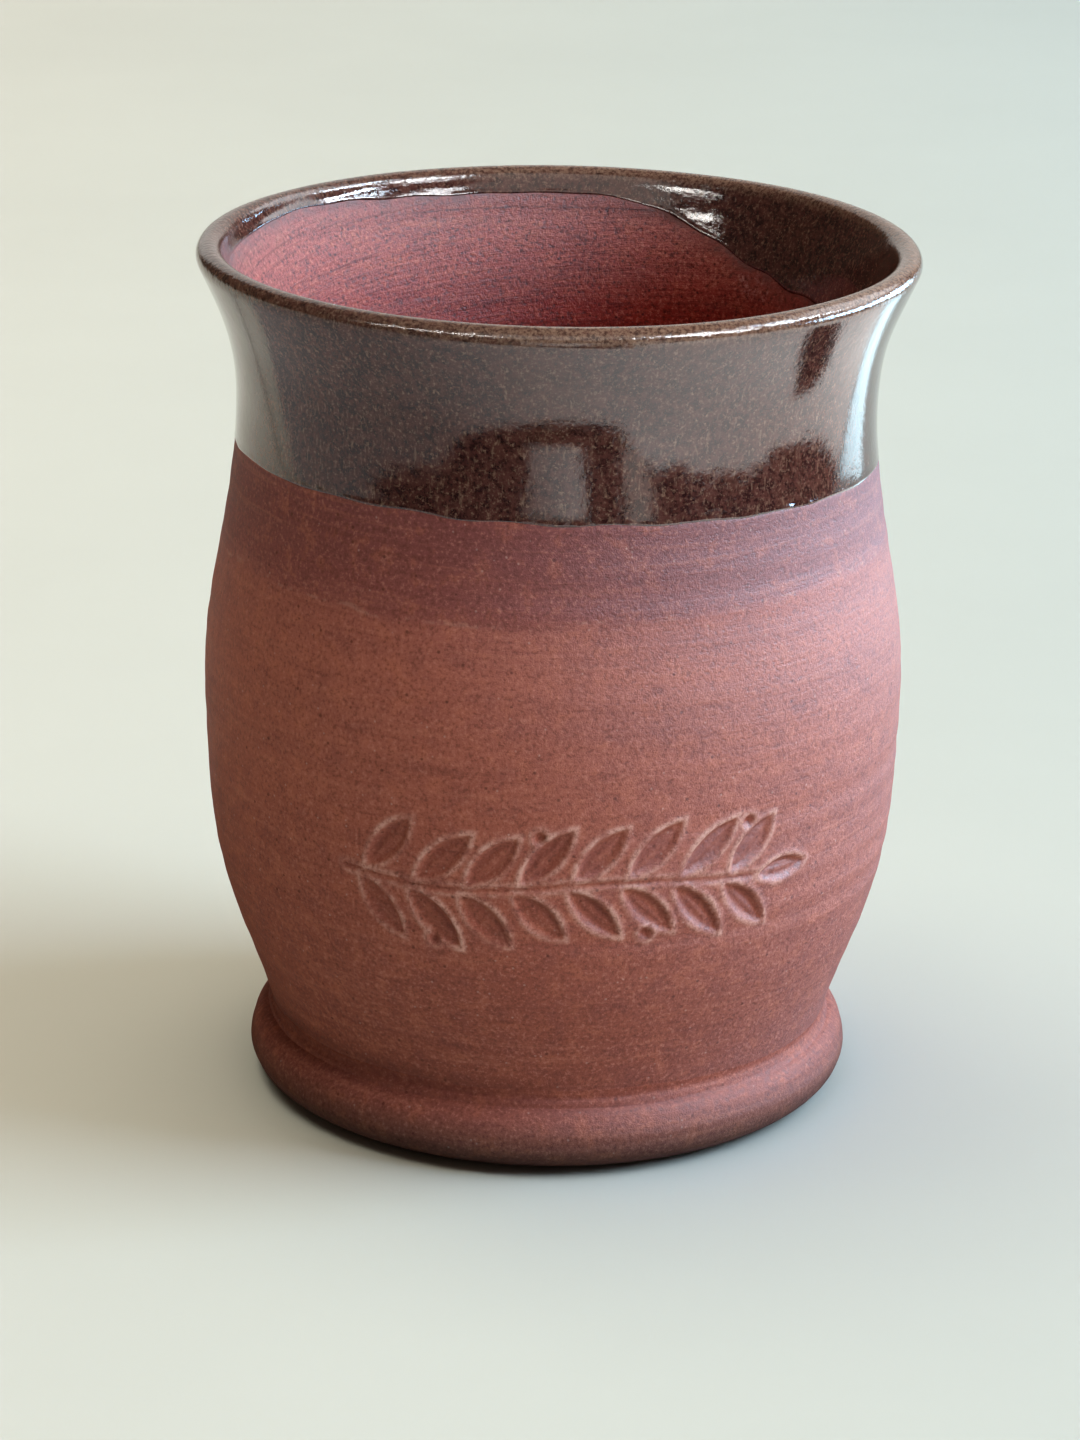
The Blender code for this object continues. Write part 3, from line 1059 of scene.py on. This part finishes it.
# lamps: the bearing is a compass angle from the camera towards the right, and most show in the glaze alone
lamps = dict(
    rightRoom=dict(
        bearing=66, away=2.6, up=1.6, size=(3.0, 2.2),
        power=105, colour=(0.92, 0.94, 0.98), shows="cup",
    ),
    rightBehind=dict(
        bearing=122, away=1.8, up=0.52, size=(1.26, 0.9),
        power=36, colour=(0.74, 0.87, 1.0), shows="cup",
    ),
    warmLeft=dict(bearing=-105, up=0.35, size=(1.2, 1.0), power=2.3, colour=(1.0, 0.84, 0.58), shows="cup"),
    clayHaze=dict(bearing=88, up=1.24, size=(0.9, 0.56), power=880, colour=(0.52, 0.75, 1.0), shows="clay"),
    windowHigh=dict(bearing=82, up=1.4, size=(0.46, 0.06), power=8, colour=(0.72, 0.87, 1.0)),
    windowLow=dict(bearing=86, up=0.98, size=(0.62, 0.08), power=22, colour=(0.72, 0.87, 1.0)),
    sideWindow=dict(bearing=50, up=1.12, size=(0.62, 0.05), power=4.5, colour=(0.95, 0.97, 1.0)),
    farLeft=dict(bearing=-42, up=0.96, size=(1.1, 0.05), power=9, colour=(1.0, 0.97, 0.92)),
    rightWall=dict(bearing=120, up=1.05, size=(1.2, 1.0), power=13.5, colour=(0.92, 0.96, 1.0)),
    lipSparkle=dict(bearing=48, up=0.71, size=(0.8, 0.12), power=30, colour=(0.92, 0.96, 1.0)),
    lowSky=dict(
        bearing=112, away=1.2, up=0.12, size=(1.1, 0.24),
        power=34, colour=(0.42, 0.71, 1.0), shows="sheen",
    ),
    backWall=dict(bearing=180, up=0.76, size=(1.8, 1.5), power=6, colour=(1.0, 0.98, 0.93)),
    frontRoom=dict(bearing=-5, away=2.0, up=1.5, size=(3.0, 1.4), power=15, colour=(1.0, 0.9, 0.82)),
    floorFill=dict(
        bearing=-110, away=0.55, up=2.3, size=(1.6, 1.6),
        power=30, colour=(1.0, 0.96, 0.74), shows="floor",
    ),
    floorKey=dict(
        bearing=86, away=2.6, up=2.1, size=(1.9, 1.9),
        power=118, colour=(0.68, 0.86, 0.98), shows="floor",
    ),
    ceiling=dict(
        bearing=100, away=0.25, up=1.6, size=(1.8, 1.8),
        power=14, colour=(1.0, 0.86, 0.72), shows="all",
    ),
)

# sheets on the floor, painted reflections in the glaze: corners in centimetres, to the right and away from
# the camera
sheets = dict(
    paleSheet=dict(
        lift=2 * mm,
        outlines=[((-60, -60), (60, -60), (60, 15.5), (12.5, 12.4), (0, 8), (-60, 8))],
        glow=2.3,
        climb=(-0.12, 0.12, 0.45),
        colour=(1.0, 1.0, 0.98),
    ),
    darkSheet=dict(
        lift=4 * mm,
        outlines=[
            (
                (-390, -20), (-30, -17), (-18, -22), (-9, -14), (-3, -12.6), (-3, -18), (-9, -47),
                (-17, -90), (-76, -390), (-390, -390),
            ),
            ((-3, -12.6), (5, -12.7), (2.5, -18), (-3, -18)),
            (
                (5, -12.7), (7, -16.4), (16, -24), (17, -19), (23, -22), (27, -19), (29, -14), (31, -13),
                (27, -7), (23, -5), (25, 5), (33, 14.5), (390, 130), (390, -390), (62, -390), (14, -90),
                (6.5, -41), (2.5, -18),
            ),
            ((9.6, 1.4), (12.2, 0.2), (15.6, -0.6), (15.8, 2.2), (13.6, 4.5), (9.8, 3.4)),
            ((-60, 11.4), (-12, 12.0), (-12, 12.6), (-60, 12.2)),
        ],
        glow=0.0,
        colour=(0.012, 0.011, 0.011),
    ),
    dimSheet=dict(
        lift=4.5 * mm,
        outlines=[
            (
                (6.8, -17.2), (9.2, -18.5), (11.5, -20.5), (26, -41), (58, -90), (140, -210), (78, -150),
                (38, -90), (17, -41), (8, -21),
            ),
        ],
        glow=1.5,
        colour=(1.0, 0.92, 0.84),
    ),
    brightSheet=dict(
        lift=5 * mm,
        outlines=[((12.5, 12.4), (34.5, 15.1), (28.3, 24.6), (12.5, 16.4))],
        glow=4.4,
        glazeOnly=False,
        colour=(0.66, 0.90, 1.0),
    ),
)


def putOnStage(name, mesh):
    thing = put(name, mesh)
    return thing


receivers = dict(
    floor=("paleFloor", "INCLUDE"),
    cup=("paleFloor", "EXCLUDE"),
    clay=("glazeCoat", "EXCLUDE"),
    gloss=("glazeCoat", "INCLUDE"),
)


def lightsOnly(source, thing, state):
    # light linking: the source lights this one thing, or everything but this thing
    lit = bpy.data.collections.new(source.name + " light")
    source.light_linking.receiver_collection = lit
    lit.objects.link(bpy.data.objects[thing])
    lit.collection_objects[0].light_linking.link_state = state


def makeFloorPlane():
    half = stage["floorHalf"]
    mesh = bpy.data.meshes.new("paleFloor")
    corners = [(-half, -half, 0), (half, -half, 0), (half, half, 0), (-half, half, 0)]
    mesh.from_pydata(corners, [], [(0, 1, 2, 3)])
    paint = Finish("pale floor paint")
    # painted light: warmer and paler on the left for warm shade, cooler on the right for daylight
    side = paint.span(paint.along("X"), -0.30, 0.30)
    tone = paint.mix(side, stage["floorLeftWarmShade"], stage["floorRightCoolDaylight"])
    cloud = paint.span(paint.noise(scale=6, detail=4, rough=0.6), 0.2, 0.8, 1.0, 0.95)
    paint.feed(paint.shader.inputs["Base Color"], paint.mix(1.0, tone, cloud, "MULTIPLY"))
    paint.shader.inputs["Roughness"].default_value = 0.8
    paint.shader.inputs["Specular IOR Level"].default_value = 0.0
    mesh.materials.append(paint.material)
    putOnStage("paleFloor", mesh)


def reflectionCard(name, colour, glow=0.0):
    # a flat card that shines by itself, for a painted reflection, or a plain matt card where the glow is
    # nothing
    paper = Finish(name)
    shader = paper.shader.inputs
    shader["Roughness"].default_value = 1.0
    shader["Specular IOR Level"].default_value = 0.0
    shader["Base Color"].default_value = (0, 0, 0, 1) if glow else (*colour, 1)
    shader["Emission Color"].default_value = (*colour, 1)
    shader["Emission Strength"].default_value = glow
    return paper


def onlyGloss(thing):
    # seen in reflections and nowhere else
    for light in ("camera", "diffuse", "transmission", "volume_scatter", "shadow"):
        setattr(thing, f"visible_{light}", False)


def makeSheet(name, lift, outlines, glow, colour, climb=None, glazeOnly=True):
    # flat outlines; where it has a climb, the glow rises to its full strength along x
    corners = [(x / 100, y / 100, lift) for outline in outlines for x, y in outline]
    faces, first = [], 0
    for outline in outlines:
        faces.append(tuple(range(first, first + len(outline))))
        first += len(outline)
    mesh = bpy.data.meshes.new(name)
    mesh.from_pydata(corners, [], faces)
    paper = reflectionCard(name, colour, glow)
    if climb:
        start, end, least = climb
        rising = paper.span(paper.along("X"), start, end, least, glow)
        paper.feed(paper.shader.inputs["Emission Strength"], rising)
    mesh.materials.append(paper.material)
    sheet = putOnStage(name, mesh)
    onlyGloss(sheet)
    if glazeOnly:
        lightsOnly(sheet, *receivers["gloss"])


def lampPlace(bearing, away, up):
    # a place by compass angle and distance, and the turn that faces the middle of the cup
    turn = math.radians(bearing)
    at = Vector((away * math.sin(turn), -away * math.cos(turn), up))
    return at, (Vector((0, 0, cupTop / 2)) - at).to_track_quat("-Z", "Y")


def makeLamp(name, bearing, up, size, power, colour, away=1.5, shows="gloss"):
    at, facing = lampPlace(bearing, away, up)
    light = bpy.data.lights.new(name, "AREA")
    light.shape = "RECTANGLE"
    light.size, light.size_y = size
    light.energy = power
    light.color = colour
    lamp = put(name, light)
    lamp.location = at
    lamp.rotation_euler = facing.to_euler()
    lamp.visible_camera = False
    lamp.visible_diffuse = shows in ("all", "cup", "floor")
    lamp.visible_glossy = shows in ("gloss", "clay", "sheen")
    if shows in receivers:
        lightsOnly(lamp, *receivers[shows])


def makeWorld():
    # a dim warm sky gives the light, and a plain pale one is seen beyond the floor
    world = bpy.data.worlds.new("soft studio")
    world.use_nodes = True
    scene.world = world
    nodes, links = world.node_tree.nodes, world.node_tree.links
    dim = nodes["Background"]
    dim.inputs["Color"].default_value = (*stage["worldColour"], 1)
    dim.inputs["Strength"].default_value = stage["worldStrength"]
    pale = nodes.new("ShaderNodeBackground")
    pale.inputs["Color"].default_value = (*stage["backdrop"], 1)
    either = nodes.new("ShaderNodeMixShader")
    links.new(nodes.new("ShaderNodeLightPath").outputs["Is Camera Ray"], either.inputs["Fac"])
    links.new(dim.outputs["Background"], either.inputs[1])
    links.new(pale.outputs["Background"], either.inputs[2])
    links.new(either.outputs["Shader"], nodes["World Output"].inputs["Surface"])


makeFloorPlane()
for name, sheet in sheets.items():
    makeSheet(name, **sheet)
for name, lamp in lamps.items():
    makeLamp(name, **lamp)
makeWorld()
scene.view_settings.view_transform = "Standard"
print("stage set")


# camera: where the photograph was taken from, found by fitting the cup's outline

view = dict(
    back=0.52692,
    up=0.22728,
    pitch=math.radians(19.163),
    yaw=math.radians(-0.158),
    roll=math.radians(0.843),
    lens=115.0,
    sensor=36.0,
)


def makeCamera():
    pitch, yaw, roll = view["pitch"], view["yaw"], view["roll"]
    ahead = Vector((math.sin(yaw) * math.cos(pitch), math.cos(yaw) * math.cos(pitch), -math.sin(pitch)))
    right = Vector((math.cos(yaw), -math.sin(yaw), 0))
    over = right.cross(ahead)
    side = right * math.cos(roll) + over * math.sin(roll)
    over = over * math.cos(roll) - right * math.sin(roll)
    data = bpy.data.cameras.new("photographView")
    data.lens = view["lens"]
    data.sensor_width = view["sensor"]
    data.clip_start = 0.01
    camera = put("photographView", data)
    facing = Matrix((side, over, -ahead)).transposed().to_4x4()
    camera.matrix_world = Matrix.Translation((0, -view["back"], view["up"])) @ facing
    scene.camera = camera


makeCamera()
print("camera set")
